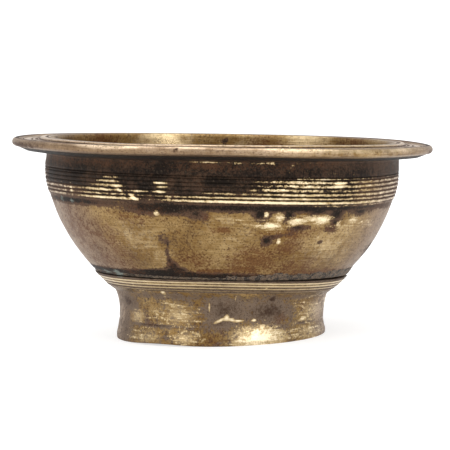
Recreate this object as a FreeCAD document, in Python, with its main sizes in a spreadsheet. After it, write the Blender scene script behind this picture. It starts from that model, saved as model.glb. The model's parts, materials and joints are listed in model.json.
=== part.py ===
import FreeCAD, Part
import math
import os

import Sketcher

# Footed brass oil lamp (diya): a turned bowl with a flanged rim, soldered into the
# flared collar of a hollow foot ring, with a loose cotton wick standing on its floor.
# The body stands crooked on its foot, so every piece is drawn upright about the lamp's
# own axis and then leaned over; only the foot's underside is cut level.
# Frame: millimetres, +Z up, origin on the ground below the middle of the rim.

SIZES = (
    # alias, value, what it measures
    ("lean_angle", 3.1, "lean of the lamp's axis away from the vertical, degrees"),
    ("lean_heading", 34.3, "compass direction of the lean, degrees from +X to +Y"),
    ("rim_radius", 55.55, "outside of the rolled rim bead"),
    ("bead_radius", 1.1, "section radius of the rim bead"),
    ("bead_height", 50.36, "height of the bead's centre"),
    ("flange_root_radius", 51.8, "where the flange's underside rises to the bead"),
    ("flange_root_height", 48.15, "height of that place"),
    ("flange_foot_height", 47.55, "where the flange meets the neck"),
    ("land_height", 51.0, "flat land between bead and lip"),
    ("lip_height", 51.65, "top of the raised lip round the mouth"),
    ("lip_radius", 48.2, "outside of the raised lip"),
    ("lip_edge", 0.8, "rounding of the mouth's edge"),
    ("mouth_radius", 44.4, "inside of the neck"),
    ("neck_radius", 46.7, "outside of the neck"),
    ("shoulder_top", 44.0, "top of the turned shoulder band"),
    ("shoulder_bottom", 37.05, "bottom of the turned shoulder band"),
    ("shoulder_bow", 25.0, "radius of the shoulder band's outline"),
    ("belly_centre_radius", -4.3, "centre of the belly's curve, from the axis"),
    ("belly_centre_height", 53.4, "centre of the belly's curve, above the ground"),
    ("belly_curve", 52.3, "outside of the belly"),
    ("inside_curve", 50.0, "inside of the belly"),
    ("seat_curve", 51.25, "seat turned on the underside for the foot"),
    ("seat_top", 17.4, "upper end of that seat"),
    ("spigot_radius", 24.6, "spigot under the bowl"),
    ("spigot_height", 9.5, "underside of the spigot"),
    ("floor_height", 12.0, "oil floor of the bowl"),
    ("floor_fillet", 12.0, "fillet from the floor to the side"),
    ("collar_curve", 52.85, "outside of the foot's flared collar"),
    ("collar_bore_curve", 51.55, "inside of the collar"),
    ("collar_lip_radius", 33.55, "edge of the collar"),
    ("collar_lip_height", 17.1, "top of the collar"),
    ("collar_lip_drop", 0.35, "height of the collar's edge"),
    ("foot_corner_radius", 28.0, "corner between collar and foot"),
    ("foot_curve", 17.0, "hollow curve of the foot's side"),
    ("foot_skirt_radius", 27.6, "side of the foot near the ground"),
    ("foot_skirt_height", 1.2, "height of that place"),
    ("foot_base_radius", 28.0, "side of the foot below the level cut"),
    ("foot_stock", 2.0, "length of the foot below the level cut"),
    ("foot_bore_radius", 24.9, "bore of the foot round the spigot"),
    ("foot_mouth_radius", 25.8, "bore of the foot at the ground"),
    ("foot_taper_height", 5.0, "where the bore starts to open"),
    ("solder_skin", 0.02, "clearance that keeps the solder off both castings"),
    ("solder_reach", 27.5, "how far in the solder ran"),
    ("solder_fillet_height", 18.2, "top of the solder fillet on the bowl"),
    ("line_pitch", 1.0, "spacing of the shoulder lines"),
    ("line_depth", 0.22, "depth of the shoulder lines"),
    ("line_width", 0.5, "width of the shoulder lines"),
    ("waist_line_pitch", 0.74, "spacing of the collar's lines"),
    ("waist_line_top", 16.25, "height of the first line on the collar"),
    ("waist_line_width", 0.32, "width of the collar's lines"),
    ("waist_line_depth", 0.18, "depth of the collar's lines"),
    ("rim_line_width", 0.5, "width of the lines on the flange"),
    ("rim_line_depth", 0.3, "depth of the lines on the flange"),
    ("bead_line_radius", 52.75, "line that sets the bead off from the land"),
    ("land_line_radius", 50.4, "line in the middle of the land"),
    ("lip_line_radius", 46.6, "line round the top of the lip"),
    ("wick_base_radius", 9.5, "cotton pad that the wick stands on"),
    ("wick_base_height", 3.6, "height of the cotton pad"),
    ("wick_gap", 0.25, "space between the floor and the loose wick"),
    ("wick_root_radius", 3.0, "foot of the twisted stem"),
    ("wick_stem_radius", 1.7, "twisted stem"),
    ("wick_tip_radius", 0.6, "end of the twisted stem"),
    ("wick_height", 24.0, "whole wick"),
)
SHOULDER_LINES = 8
COLLAR_LINES = 5

doc = FreeCAD.newDocument("oil_lamp")
sheet = doc.addObject("Spreadsheet::Sheet", "Sizes")
for row, (alias, value, meaning) in enumerate(SIZES, start=1):
    sheet.set("A%d" % row, alias)
    sheet.set("B%d" % row, str(value))
    sheet.set("C%d" % row, meaning)
    sheet.setAlias("B%d" % row, alias)
doc.recompute()


class Size:
    """A length that knows the sheet expression it comes from."""

    def __init__(self, value, text):
        self.value = value
        self.text = text

    def join(self, other, sign, result):
        return Size(result, "(%s %s %s)" % (self.text, sign, as_size(other).text))

    def __add__(self, other):
        return self.join(other, "+", self.value + as_size(other).value)

    def __sub__(self, other):
        return self.join(other, "-", self.value - as_size(other).value)

    def __mul__(self, other):
        return self.join(other, "*", self.value * as_size(other).value)

    def __truediv__(self, other):
        return self.join(other, "/", self.value / as_size(other).value)


def as_size(number):
    return number if isinstance(number, Size) else Size(float(number), str(number))


def size(alias):
    return Size(sheet.get(alias), "Sizes." + alias)


def leg(long_side, short_side):
    """The other leg of a right triangle."""
    value = math.sqrt(long_side.value ** 2 - short_side.value ** 2)
    return Size(value, "sqrt(%s ^ 2 - %s ^ 2)" % (long_side.text, short_side.text))


def height_on_belly(curve, radius):
    """Height of the curve round the belly's centre at a radius from the axis."""
    return size("belly_centre_height") - leg(curve, radius - size("belly_centre_radius"))


def radius_on_belly(curve, height):
    """Radius from the axis of the curve round the belly's centre at a height."""
    return size("belly_centre_radius") + leg(curve, size("belly_centre_height") - height)


def corner(radius, height):
    return (as_size(radius), as_size(height))


def plane(body, role):
    return next(part for part in body.Origin.OriginFeatures if part.Role == role)


def new_body(name):
    body = doc.addObject("PartDesign::Body", name)
    body.Label = name
    return body


def new_sketch(body, name, role="XZ_Plane"):
    sketch = body.newObject("Sketcher::SketchObject", name)
    sketch.AttachmentSupport = (plane(body, role), [""])
    sketch.MapMode = "FlatFace"
    return sketch


def bind(sketch, constraint, length):
    index = sketch.addConstraint(constraint)
    sketch.setExpression("Constraints[%d]" % index, length.text)


def arc_between(start, end, radius, bulge):
    """Arc from start to end; bulge +1 puts its centre to the right of the way, -1 to the left."""
    way = end - start
    middle = (start + end) * 0.5
    side = FreeCAD.Vector(way.y, -way.x, 0).normalize()
    centre = middle + side * bulge * math.sqrt(radius ** 2 - (way.Length / 2) ** 2)
    return Part.Arc(start, centre - side * bulge * radius, end)


def outline(sketch, corners, arcs=None):
    """Closed outline through the corners. arcs gives side number: (radius, bulge)."""
    arcs = arcs or {}
    points = [FreeCAD.Vector(r.value, z.value, 0) for r, z in corners]
    count = len(points)
    first = sketch.GeometryCount
    ends = []
    for side in range(count):
        start, end = points[side], points[(side + 1) % count]
        if side in arcs:
            radius, bulge = arcs[side]
            index = sketch.addGeometry(arc_between(start, end, radius.value, bulge))
            same_way = sketch.getPoint(index, 1).distanceToPoint(start) < 1e-6
            ends.append((index, 1, 2) if same_way else (index, 2, 1))
        else:
            index = sketch.addGeometry(Part.LineSegment(start, end))
            ends.append((index, 1, 2))
    for side in range(count):
        index, _, last = ends[side]
        following, opening, _ = ends[(side + 1) % count]
        sketch.addConstraint(Sketcher.Constraint("Coincident", index, last, following, opening))
    for side, (radius, height) in enumerate(corners):
        index, opening, _ = ends[side]
        bind(sketch, Sketcher.Constraint("DistanceX", -1, 1, index, opening, radius.value), radius)
        bind(sketch, Sketcher.Constraint("DistanceY", -1, 1, index, opening, height.value), height)
    for side, (radius, _) in arcs.items():
        bind(sketch, Sketcher.Constraint("Radius", first + side, radius.value), radius)


def revolve(body, sketch, name):
    turned = body.newObject("PartDesign::Revolution", name)
    turned.Profile = sketch
    turned.ReferenceAxis = (sketch, ["V_Axis"])
    turned.Angle = 360
    doc.recompute()
    return turned


def turn_grooves(body, sketch, name):
    """Cut the sketch's notches all round, and make sure that metal came off."""
    before = body.Shape.Volume
    groove = body.newObject("PartDesign::Groove", name)
    groove.Profile = sketch
    groove.ReferenceAxis = (sketch, ["V_Axis"])
    groove.Angle = 360
    doc.recompute()
    if body.Shape.Volume >= before:
        raise RuntimeError(name + " cut nothing")
    return groove


def notch(sketch, radius, height, width, depth, facing):
    """V-shaped notch at a place on the surface; facing is the outward direction in degrees."""
    turn = math.radians(facing)
    out_r, out_z = math.cos(turn), math.sin(turn)
    half = width / 2
    corners = []
    for along, out in ((-1, 1), (1, 1), (0, -1)):
        step_r = half * (-along * out_z) + depth * (out * out_r)
        step_z = half * (along * out_r) + depth * (out * out_z)
        corners.append(corner(radius + step_r, height + step_z))
    outline(sketch, corners)


def lean_over(body):
    """Lean the piece about the foot's centre, so that the rim's centre is over the origin."""
    angle = math.radians(sheet.get("lean_angle"))
    heading = math.radians(sheet.get("lean_heading"))
    axis = FreeCAD.Vector(-math.sin(heading), math.cos(heading), 0)
    reach = sheet.get("bead_height") * math.sin(angle)
    foot = FreeCAD.Vector(-reach * math.cos(heading), -reach * math.sin(heading), 0)
    body.Placement = FreeCAD.Placement(foot, FreeCAD.Rotation(axis, math.degrees(angle)))
    reach_text = "Sizes.bead_height * sin(Sizes.lean_angle * 1 deg)"
    body.setExpression("Placement.Base.x", "-%s * cos(Sizes.lean_heading * 1 deg)" % reach_text)
    body.setExpression("Placement.Base.y", "-%s * sin(Sizes.lean_heading * 1 deg)" % reach_text)
    body.setExpression("Placement.Rotation.Angle", "Sizes.lean_angle")


def make_bowl():
    """Turned bowl: flanged rim, neck, shoulder band, belly, seat and spigot, all one casting."""
    body = new_body("bowl")
    sketch = new_sketch(body, "bowl_outline")
    belly, inside, seat = size("belly_curve"), size("inside_curve"), size("seat_curve")
    bead = size("bead_radius")
    bead_centre = size("rim_radius") - bead
    fillet = size("floor_fillet")
    fillet_height = size("floor_height") + fillet
    fillet_drop = size("belly_centre_height") - fillet_height
    fillet_radius = size("belly_centre_radius") + leg(inside - fillet, fillet_drop)
    # the fillet touches the inside curve on the line through both centres
    share = inside / (inside - fillet)
    touch_radius = size("belly_centre_radius") + (fillet_radius - size("belly_centre_radius")) * share
    touch_height = size("belly_centre_height") - fillet_drop * share
    mouth = size("mouth_radius")
    neck_bottom = height_on_belly(inside, mouth)
    corners = [
        corner(0, size("spigot_height")),
        corner(size("spigot_radius"), size("spigot_height")),
        corner(size("spigot_radius"), height_on_belly(seat, size("spigot_radius"))),
        corner(radius_on_belly(seat, size("seat_top")), size("seat_top")),
        corner(radius_on_belly(belly, size("seat_top")), size("seat_top")),
        corner(radius_on_belly(belly, size("shoulder_bottom")), size("shoulder_bottom")),
        corner(size("neck_radius"), size("shoulder_top")),
        corner(size("neck_radius"), size("flange_foot_height")),
        corner(size("flange_root_radius"), size("flange_root_height")),
        corner(bead_centre, size("bead_height") - bead),
        corner(size("rim_radius"), size("bead_height")),
        corner(bead_centre - leg(bead, size("land_height") - size("bead_height")), size("land_height")),
        corner(size("lip_radius"), size("land_height")),
        corner(size("lip_radius"), size("lip_height") - size("lip_edge") / 2),
        corner(size("lip_radius") - size("lip_edge") / 2, size("lip_height")),
        corner(mouth + size("lip_edge"), size("lip_height")),
        corner(mouth, size("lip_height") - size("lip_edge")),
        corner(mouth, neck_bottom),
        corner(touch_radius, touch_height),
        corner(fillet_radius, size("floor_height")),
        corner(0, size("floor_height")),
    ]
    arcs = {
        2: (seat, -1),
        4: (belly, -1),
        5: (size("shoulder_bow"), -1),
        9: (bead, -1),
        10: (bead, -1),
        13: (size("lip_edge") / 2, -1),
        15: (size("lip_edge"), -1),
        17: (inside, 1),
        18: (fillet, 1),
    }
    outline(sketch, corners, arcs)
    revolve(body, sketch, "bowl_turned")

    lines = new_sketch(body, "shoulder_lines_outline")
    bottom, top = sheet.get("shoulder_bottom"), sheet.get("shoulder_top")
    for number in range(SHOULDER_LINES):
        height = size("shoulder_bottom") + size("line_pitch") * number
        along = (height.value - bottom) / (top - bottom)
        foot_radius = radius_on_belly(belly, size("shoulder_bottom"))
        # the band's outline rises as a flat arc from the belly to the neck
        radius = foot_radius + (size("neck_radius") - foot_radius) * round(along * (2 - along), 4)
        facing = -18 * (1 - along)
        notch(lines, radius, height, size("line_width"), size("line_depth"), facing)
    turn_grooves(body, lines, "shoulder_lines")

    rim = new_sketch(body, "rim_lines_outline")
    for place, top_height in (
        ("bead_line_radius", size("land_height")),
        ("land_line_radius", size("land_height")),
        ("lip_line_radius", size("lip_height")),
    ):
        notch(rim, size(place), top_height, size("rim_line_width"), size("rim_line_depth"), 90)
    turn_grooves(body, rim, "rim_lines")
    return body


def make_foot():
    """Hollow cast foot ring with a flared collar that holds the bowl's seat."""
    body = new_body("foot")
    sketch = new_sketch(body, "foot_outline")
    collar, bore = size("collar_curve"), size("collar_bore_curve")
    lip_height = size("collar_lip_height")
    lip_drop = lip_height - size("collar_lip_drop")
    corners = [
        corner(size("foot_mouth_radius"), size("foot_stock") * -1),
        corner(size("foot_base_radius"), size("foot_stock") * -1),
        corner(size("foot_skirt_radius"), size("foot_skirt_height")),
        corner(size("foot_corner_radius"), height_on_belly(collar, size("foot_corner_radius"))),
        corner(radius_on_belly(collar, lip_drop), lip_drop),
        corner(size("collar_lip_radius"), lip_height),
        corner(radius_on_belly(bore, lip_height), lip_height),
        corner(size("foot_bore_radius"), height_on_belly(bore, size("foot_bore_radius"))),
        corner(size("foot_bore_radius"), size("foot_taper_height")),
    ]
    arcs = {2: (size("foot_curve"), 1), 3: (collar, -1), 6: (bore, 1)}
    outline(sketch, corners, arcs)
    revolve(body, sketch, "foot_turned")

    lines = new_sketch(body, "collar_lines_outline")
    for number in range(COLLAR_LINES):
        height = size("waist_line_top") - size("waist_line_pitch") * number
        radius = radius_on_belly(collar, height)
        down = size("belly_centre_height") - height
        out = radius - size("belly_centre_radius")
        facing = -math.degrees(math.atan2(down.value, out.value))
        notch(lines, radius, height, size("waist_line_width"), size("waist_line_depth"), facing)
    turn_grooves(body, lines, "collar_lines")
    return body


def cut_level(body):
    """Cut the leaning foot level with the ground."""
    level = new_sketch(body, "ground_outline", "XY_Plane")
    heading = math.radians(sheet.get("lean_heading"))
    axis = FreeCAD.Vector(math.sin(heading), -math.cos(heading), 0)
    turn = FreeCAD.Rotation(axis, sheet.get("lean_angle"))
    level.AttachmentOffset = FreeCAD.Placement(FreeCAD.Vector(0, 0, 0), turn)
    level.setExpression("AttachmentOffset.Rotation.Angle", "Sizes.lean_angle")
    reach = size("foot_base_radius") * 1.5
    outline(level, [corner(reach * sx, reach * sy) for sx, sy in ((-1, -1), (1, -1), (1, 1), (-1, 1))])
    before = body.Shape.Volume
    pocket = body.newObject("PartDesign::Pocket", "ground_cut")
    pocket.Profile = level
    pocket.Type = "Length"
    pocket.setExpression("Length", "Sizes.foot_stock * 4")
    pocket.Reversed = False
    doc.recompute()
    if not 0 < before - body.Shape.Volume < before / 4:
        raise RuntimeError("the level cut took away the wrong side")


def make_solder_ring():
    """Solder that ran between seat and collar and stands as a fillet above the collar."""
    body = new_body("solder_ring")
    sketch = new_sketch(body, "solder_outline")
    skin = size("solder_skin")
    seat, bore = size("seat_curve") + skin, size("collar_bore_curve") - skin
    belly = size("belly_curve") + skin
    top, lip = size("seat_top") - skin, size("collar_lip_height") + skin
    reach, fillet = size("solder_reach"), size("solder_fillet_height")
    corners = [
        corner(reach, height_on_belly(bore, reach)),
        corner(radius_on_belly(bore, lip), lip),
        corner(size("collar_lip_radius") - skin, lip),
        corner(radius_on_belly(belly, fillet), fillet),
        corner(radius_on_belly(belly, top), top),
        corner(radius_on_belly(seat, top), top),
        corner(reach, height_on_belly(seat, reach)),
    ]
    outline(sketch, corners, {0: (bore, -1), 3: (belly, 1), 5: (seat, 1)})
    revolve(body, sketch, "solder_turned")
    return body


def make_wick():
    """Loose cotton wick: a round pad twisted up into a pointed stem."""
    body = new_body("cotton_wick")
    sketch = new_sketch(body, "wick_outline")
    ground = size("floor_height") + size("wick_gap")
    pad, pad_height = size("wick_base_radius"), size("wick_base_height")
    root = size("wick_root_radius")
    tip = ground + size("wick_height")
    corners = [
        corner(0, ground),
        corner(pad - 1, ground),
        corner(pad, ground + pad_height * 0.4),
        corner(pad * 0.7, ground + pad_height),
        corner(root, ground + pad_height * 1.25),
        corner(size("wick_stem_radius"), ground + pad_height * 2),
        corner(size("wick_tip_radius"), tip),
        corner(0, tip),
    ]
    arcs = {1: (pad_height * 0.6, -1), 2: (pad_height, -1), 4: (pad_height, 1)}
    outline(sketch, corners, arcs)
    revolve(body, sketch, "wick_turned")
    return body


bowl = make_bowl()
foot = make_foot()
cut_level(foot)
solder = make_solder_ring()
wick = make_wick()
pieces = [bowl, foot, solder, wick]
for piece in pieces:
    lean_over(piece)
doc.recompute()

for item in doc.Objects:
    if "Invalid" in item.State or "Error" in item.State:
        raise RuntimeError("%s did not build: %s" % (item.Name, item.State))
for piece in pieces:
    if piece.Shape.isNull() or not piece.Shape.isValid() or len(piece.Shape.Solids) != 1:
        raise RuntimeError(piece.Label + " is not one sound solid")

os.makedirs("parts", exist_ok=True)
for piece in pieces:
    piece.Shape.exportStep(os.path.join("parts", piece.Label + ".step"))
    box = piece.Shape.optimalBoundingBox(False)
    print("%-12s %8.1f mm3  x %.2f..%.2f  y %.2f..%.2f  z %.2f..%.2f" % (
        piece.Label, piece.Shape.Volume, box.XMin, box.XMax, box.YMin, box.YMax, box.ZMin, box.ZMax))
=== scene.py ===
"""Looks of a footed brass oil lamp bowl with a loose cotton wick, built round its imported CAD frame.

Lengths are in millimetres about the lamp's own slightly leaning axis, and become metres in the CAD
frame as each mesh is made. Bearings are in degrees round that axis: 0 faces the camera, 90 is the
lamp's right side and 180 its back.
"""
import json
import math

import bpy
import numpy as np
from mathutils import Matrix, Vector


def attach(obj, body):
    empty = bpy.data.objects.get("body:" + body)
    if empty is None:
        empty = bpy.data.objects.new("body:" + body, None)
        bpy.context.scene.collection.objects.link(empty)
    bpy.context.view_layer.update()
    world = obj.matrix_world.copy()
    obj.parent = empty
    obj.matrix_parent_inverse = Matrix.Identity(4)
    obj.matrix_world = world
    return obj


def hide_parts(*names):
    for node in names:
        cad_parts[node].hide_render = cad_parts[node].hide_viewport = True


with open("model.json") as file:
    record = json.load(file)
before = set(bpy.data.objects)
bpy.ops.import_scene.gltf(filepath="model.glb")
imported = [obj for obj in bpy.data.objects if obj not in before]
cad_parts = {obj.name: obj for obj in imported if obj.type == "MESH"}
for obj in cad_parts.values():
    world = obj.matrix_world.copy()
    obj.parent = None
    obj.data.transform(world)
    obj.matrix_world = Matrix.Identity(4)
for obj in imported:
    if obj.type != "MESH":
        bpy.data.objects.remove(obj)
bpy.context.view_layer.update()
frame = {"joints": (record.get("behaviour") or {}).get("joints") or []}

MM = 0.001
SEGMENTS = 480

# ------------------------ the lamp's own axis
# height at which the leaning axis crosses x = y = 0 of the frame
RIM_PLANE = 50.36
axis = Vector(frame["joints"][0]["axis"]).normalized()
heading = math.atan2(axis.y, axis.x)
lean_axis = Vector((-math.sin(heading), math.cos(heading), 0))
lean = np.array(Matrix.Rotation(math.acos(axis.z), 3, lean_axis))
foot_centre = np.array([-axis.x * RIM_PLANE, -axis.y * RIM_PLANE, 0.0])


def in_frame(points):
    """Millimetres about the lamp's axis to metres in the CAD frame."""
    return (np.asarray(points) @ lean.T + foot_centre) * MM


# ------------------------ small helpers
def srgb(red, green, blue):
    """Linear colour from the three numbers, 0 to 255, that a colour picker shows."""
    shades = [v / 255 for v in (red, green, blue)]
    linear = [v / 12.92 if v < 0.04045 else ((v + 0.055) / 1.055) ** 2.4 for v in shades]
    return (*linear, 1.0)


def ease(value, low, high):
    """0 below low, 1 above high, and a smooth rise between them."""
    part = np.clip((np.asarray(value, float) - low) / (high - low), 0, 1)
    return part * part * (3 - 2 * part)


def off_bearing(bearing, middle):
    """Degrees from a bearing, -180 to 180; positive is towards the lamp's right."""
    return (bearing - middle + 180) % 360 - 180


def swell(bearing, middle, half):
    """Smooth bump of height 1 about a bearing."""
    return np.exp(-((off_bearing(bearing, middle) / half) ** 2) * 1.5)


def swells(bearing, bumps):
    """Sum of smooth bumps, each given as (bearing, half turn, height)."""
    return sum(height * swell(bearing, middle, half) for middle, half, height in bumps)


def ripple(points, length, seed, waves=40):
    """Seeded smooth unevenness in space, about -1 to 1, with bumps about as long as length."""
    dice = np.random.default_rng(seed)
    total = np.zeros(points.shape[:-1])
    for _ in range(waves):
        way = dice.normal(size=3)
        way *= 2 * math.pi / length * dice.uniform(0.6, 1.4) / np.linalg.norm(way)
        total += np.sin(points @ way + dice.uniform(0, 2 * math.pi))
    return total * (1.6 / waves) ** 0.5 * 0.7


# ------------------------ driving sizes
# middle of the belly's arcs, and the arcs' own radii: outside, inside, and the seat under the solder
BELLY_RADIUS, BELLY_HEIGHT = -4.3, 53.4
BELLY, INSIDE, SEAT = 52.3, 50.0, 51.25
SEAT_TOP = 17.4
WELL_FLOOR, WELL_FILLET = 12.0, 12.0
SPIGOT, SPIGOT_BOTTOM, SPIGOT_CORNER = 24.6, 9.5, 0.4
BAND_BOTTOM, BAND_TOP = 37.05, 44.0
RIM, NECK, MOUTH = 55.54, 46.7, 44.4
NECK_TOP = 47.1
BEAD = 1.1
LAND, RIDGE = 51.0, 51.65
# heights of the shoulder's tool lines, then radii of those on top of the rim
SHOULDER_LINES = (38.15, 39.1, 40.2, 41.3, 42.35, 43.4)
WIDE_LINES, FINE_LINE, RIDGE_FOOT, RIDGE_LINE = (52.75, 50.4), 49.15, 48.35, 46.6
LAND_LINES = (*WIDE_LINES, FINE_LINE, RIDGE_FOOT, RIDGE_LINE, 44.6)

# the foot: its collar and bore follow the belly's arcs, and its side is an arc of its own
COLLAR, FOOT_BORE = 52.85, 51.55
COLLAR_LINES = (13.4, 14.05, 14.85, 15.6, 16.3)
COLLAR_BOTTOM, COLLAR_TOP = 12.9, 16.6
WAIST_ARC = 17.0
FOOT_BASE, SKIRT, SKIRT_TOP = 0.02, 27.6, 1.2
FOOT_THROAT, FOOT_MOUTH = 24.9, 25.8

# tool lines as (width, depth)
SHOULDER_CUT, COLLAR_CUT = (0.34, 0.24), (0.3, 0.17)
WIDE_CUT, FINE_CUT, RIDGE_CUT = (0.55, 0.3), (0.24, 0.1), (0.5, 0.28)


# ------------------------ turned outlines
class Outline:
    """Turned outline as a list of (radius, height) points, drawn end to end."""

    def __init__(self, radius, height):
        self.points = [(radius, height)]

    def line(self, radius, height, steps=1):
        """Straight line from the last point, in a number of even steps."""
        start = np.array(self.points[-1])
        way = np.array([radius, height]) - start
        for step in range(1, steps + 1):
            self.points.append(tuple(start + way * (step / steps)))
        return self

    def arc(self, centre_radius, centre_height, radius, start, end, steps):
        """Arc about a centre from one angle to another; 0 degrees is outward and 90 is up."""
        for step in range(1, steps + 1):
            turn = math.radians(start + (end - start) * step / steps)
            out, up = radius * math.cos(turn), radius * math.sin(turn)
            self.points.append((centre_radius + out, centre_height + up))
        return self

    def groove(self, radius, height, along, width, depth):
        """V-shaped tool line at a place; along is the way (radial, up) that the outline runs."""
        ahead = np.array(along) / np.hypot(*along)
        inward = np.array([-ahead[1], ahead[0]])
        middle = np.array([radius, height])
        for step, sink in ((-0.5, 0), (-0.2, 0.75), (0, 1), (0.2, 0.75), (0.5, 0)):
            self.points.append(tuple(middle + ahead * step * width + inward * sink * depth))
        return self


def height_on(curve, radius):
    """Height at which one of the belly's arcs reaches a radius."""
    return BELLY_HEIGHT - (curve ** 2 - (radius - BELLY_RADIUS) ** 2) ** 0.5


def radius_on(curve, height):
    """Radius of one of the belly's arcs at a height."""
    return BELLY_RADIUS + (curve ** 2 - (BELLY_HEIGHT - height) ** 2) ** 0.5


def along_curve(outline, curve, start, end, steps):
    """Follow one of the belly's arcs from one height to another."""
    angles = [math.degrees(math.asin((level - BELLY_HEIGHT) / curve)) for level in (start, end)]
    return outline.arc(BELLY_RADIUS, BELLY_HEIGHT, curve, angles[0], angles[1], steps)


def band_radius(height):
    """Radius of the shoulder's lined band, which swells out to the neck."""
    along = (height - BAND_BOTTOM) / (BAND_TOP - BAND_BOTTOM)
    low = radius_on(BELLY, BAND_BOTTOM) + 0.16
    return low + (NECK - low) * (1 - (1 - along) ** 2.3)


def draw_underside(line):
    """Spigot that sits in the foot, and the seat up to the solder."""
    flat = SPIGOT - SPIGOT_CORNER
    line.line(0.5, SPIGOT_BOTTOM).line(flat, SPIGOT_BOTTOM, 16)
    line.arc(flat, SPIGOT_BOTTOM + SPIGOT_CORNER, SPIGOT_CORNER, -90, 0, 3)
    line.line(SPIGOT, height_on(SEAT, SPIGOT), 2)
    along_curve(line, SEAT, height_on(SEAT, SPIGOT), SEAT_TOP, 8)


def draw_shoulder(line):
    """Softly crowned strips between the shoulder's tool lines."""
    below = BAND_BOTTOM + 0.12
    line.line(band_radius(below), below)
    for level in (*SHOULDER_LINES, BAND_TOP):
        middle = (below + level) / 2
        for height, proud in ((below + 0.24, 0.03), (middle, 0.07), (level - 0.24, 0.03)):
            line.line(band_radius(height) + proud, height)
        line.groove(band_radius(level), level, (0.12, 1), *SHOULDER_CUT)
        below = level


def draw_flange(line):
    """Neck, thin flange with its round bead, then the flat land and its ridge beside the mouth."""
    inward = (-1, 0)
    line.line(NECK, BAND_TOP + 0.6).line(NECK, NECK_TOP, 5)
    line.arc(NECK + 0.45, NECK_TOP, 0.45, 180, 95, 3).line(51.8, 48.15, 5).line(54.2, 49.22, 3)
    line.arc(RIM - BEAD, RIM_PLANE, BEAD, -102, 144, 18)
    for radius in WIDE_LINES:
        line.groove(radius, LAND, inward, *WIDE_CUT).line(radius - 1.0, LAND, 2)
    line.groove(FINE_LINE, LAND, inward, *FINE_CUT).line(48.7, LAND)
    line.line(RIDGE_FOOT, LAND).line(48.22, LAND + 0.12)
    line.arc(47.8, RIDGE - 0.4, 0.4, 0, 90, 5).line(47.2, RIDGE)
    line.groove(RIDGE_LINE, RIDGE, inward, *RIDGE_CUT).line(45.8, RIDGE)
    line.arc(MOUTH + 0.8, RIDGE - 0.8, 0.8, 90, 180, 5)


def draw_well(line):
    """Inside of the bowl; the fillet touches the wall on the line through both arcs' centres."""
    drop = BELLY_HEIGHT - WELL_FLOOR - WELL_FILLET
    centre = BELLY_RADIUS + math.sqrt((INSIDE - WELL_FILLET) ** 2 - drop ** 2)
    touch = math.atan2(-drop, centre - BELLY_RADIUS)
    wall_top, wall_bottom = height_on(INSIDE, MOUTH), BELLY_HEIGHT + INSIDE * math.sin(touch)
    line.line(MOUTH, wall_top + 0.3, 7)
    along_curve(line, INSIDE, wall_top, wall_bottom, 30)
    line.arc(centre, WELL_FLOOR + WELL_FILLET, WELL_FILLET, math.degrees(touch), -90, 8)
    line.line(0.5, WELL_FLOOR, 12).line(0, WELL_FLOOR)


def bowl_outline():
    """Outline of the bowl, from the middle of its underside up and over the rim to the well's floor."""
    line = Outline(0, SPIGOT_BOTTOM)
    draw_underside(line)
    line.line(radius_on(BELLY, SEAT_TOP), SEAT_TOP)
    along_curve(line, BELLY, SEAT_TOP, BAND_BOTTOM - 0.2, 44)
    draw_shoulder(line)
    draw_flange(line)
    draw_well(line)
    return line.points


def draw_waist(line):
    """Hollow side of the foot: an arc between the skirt's top and the collar's corner."""
    corner = 28.0
    start, end = np.array([SKIRT, SKIRT_TOP]), np.array([corner, height_on(COLLAR, corner)])
    chord = end - start
    rise = math.sqrt(WAIST_ARC ** 2 - (np.hypot(*chord) / 2) ** 2)
    centre = (start + end) / 2 + rise * np.array([chord[1], -chord[0]]) / np.hypot(*chord)
    angles = [math.degrees(math.atan2(*(place - centre)[::-1])) % 360 for place in (start, end)]
    line.arc(centre[0], centre[1], WAIST_ARC, angles[0], angles[1], 30)


def draw_collar(line):
    """Tool lines round the foot's flared top, with soft crests between them."""
    below = COLLAR_BOTTOM
    for level in COLLAR_LINES:
        crest = (below + level) / 2
        line.line(radius_on(COLLAR, crest) + 0.04, crest)
        below = level
        radius = radius_on(COLLAR, level)
        slope = (BELLY_HEIGHT - level, radius - BELLY_RADIUS)
        line.groove(radius, level, slope, *COLLAR_CUT)
    line.line(radius_on(COLLAR, COLLAR_TOP), COLLAR_TOP)


def foot_outline():
    """Closed outline of the foot, from its mouth on the ground round the outside and back."""
    edge, lip = 0.3, COLLAR_TOP + 0.06
    line = Outline(FOOT_MOUTH, FOOT_BASE)
    line.line(SKIRT - edge, FOOT_BASE, 3).arc(SKIRT - edge, edge, 0.28, -75, 0, 4)
    line.line(SKIRT, SKIRT_TOP, 3)
    draw_waist(line)
    draw_collar(line)
    line.line(radius_on(FOOT_BORE, lip), lip, 2)
    along_curve(line, FOOT_BORE, lip, height_on(FOOT_BORE, FOOT_THROAT), 10)
    line.line(FOOT_THROAT, 5.0, 6).line(FOOT_MOUTH, FOOT_BASE, 8)
    return line.points[:-1]


def solder_outline():
    """Closed outline of the solder: a thin film in the joint and a lumpy fillet above the collar."""
    seat, bore, film_end = SEAT + 0.05, FOOT_BORE - 0.05, 27.6
    line = Outline(film_end, height_on(bore, film_end))
    along_curve(line, bore, height_on(bore, film_end), COLLAR_TOP - 0.05, 6)
    line.line(radius_on(bore, 16.7) + 0.1, 16.7).line(33.1, 16.7, 3).line(33.35, 16.85)
    line.line(34.05, 17.75, 8).line(34.72, 18.85, 9).line(34.2, 18.75)
    along_curve(line, BELLY - 0.25, 18.3, SEAT_TOP, 4)
    line.line(radius_on(seat, 17.3), 17.3)
    along_curve(line, seat, 17.2, height_on(seat, film_end), 6)
    return line.points


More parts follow.
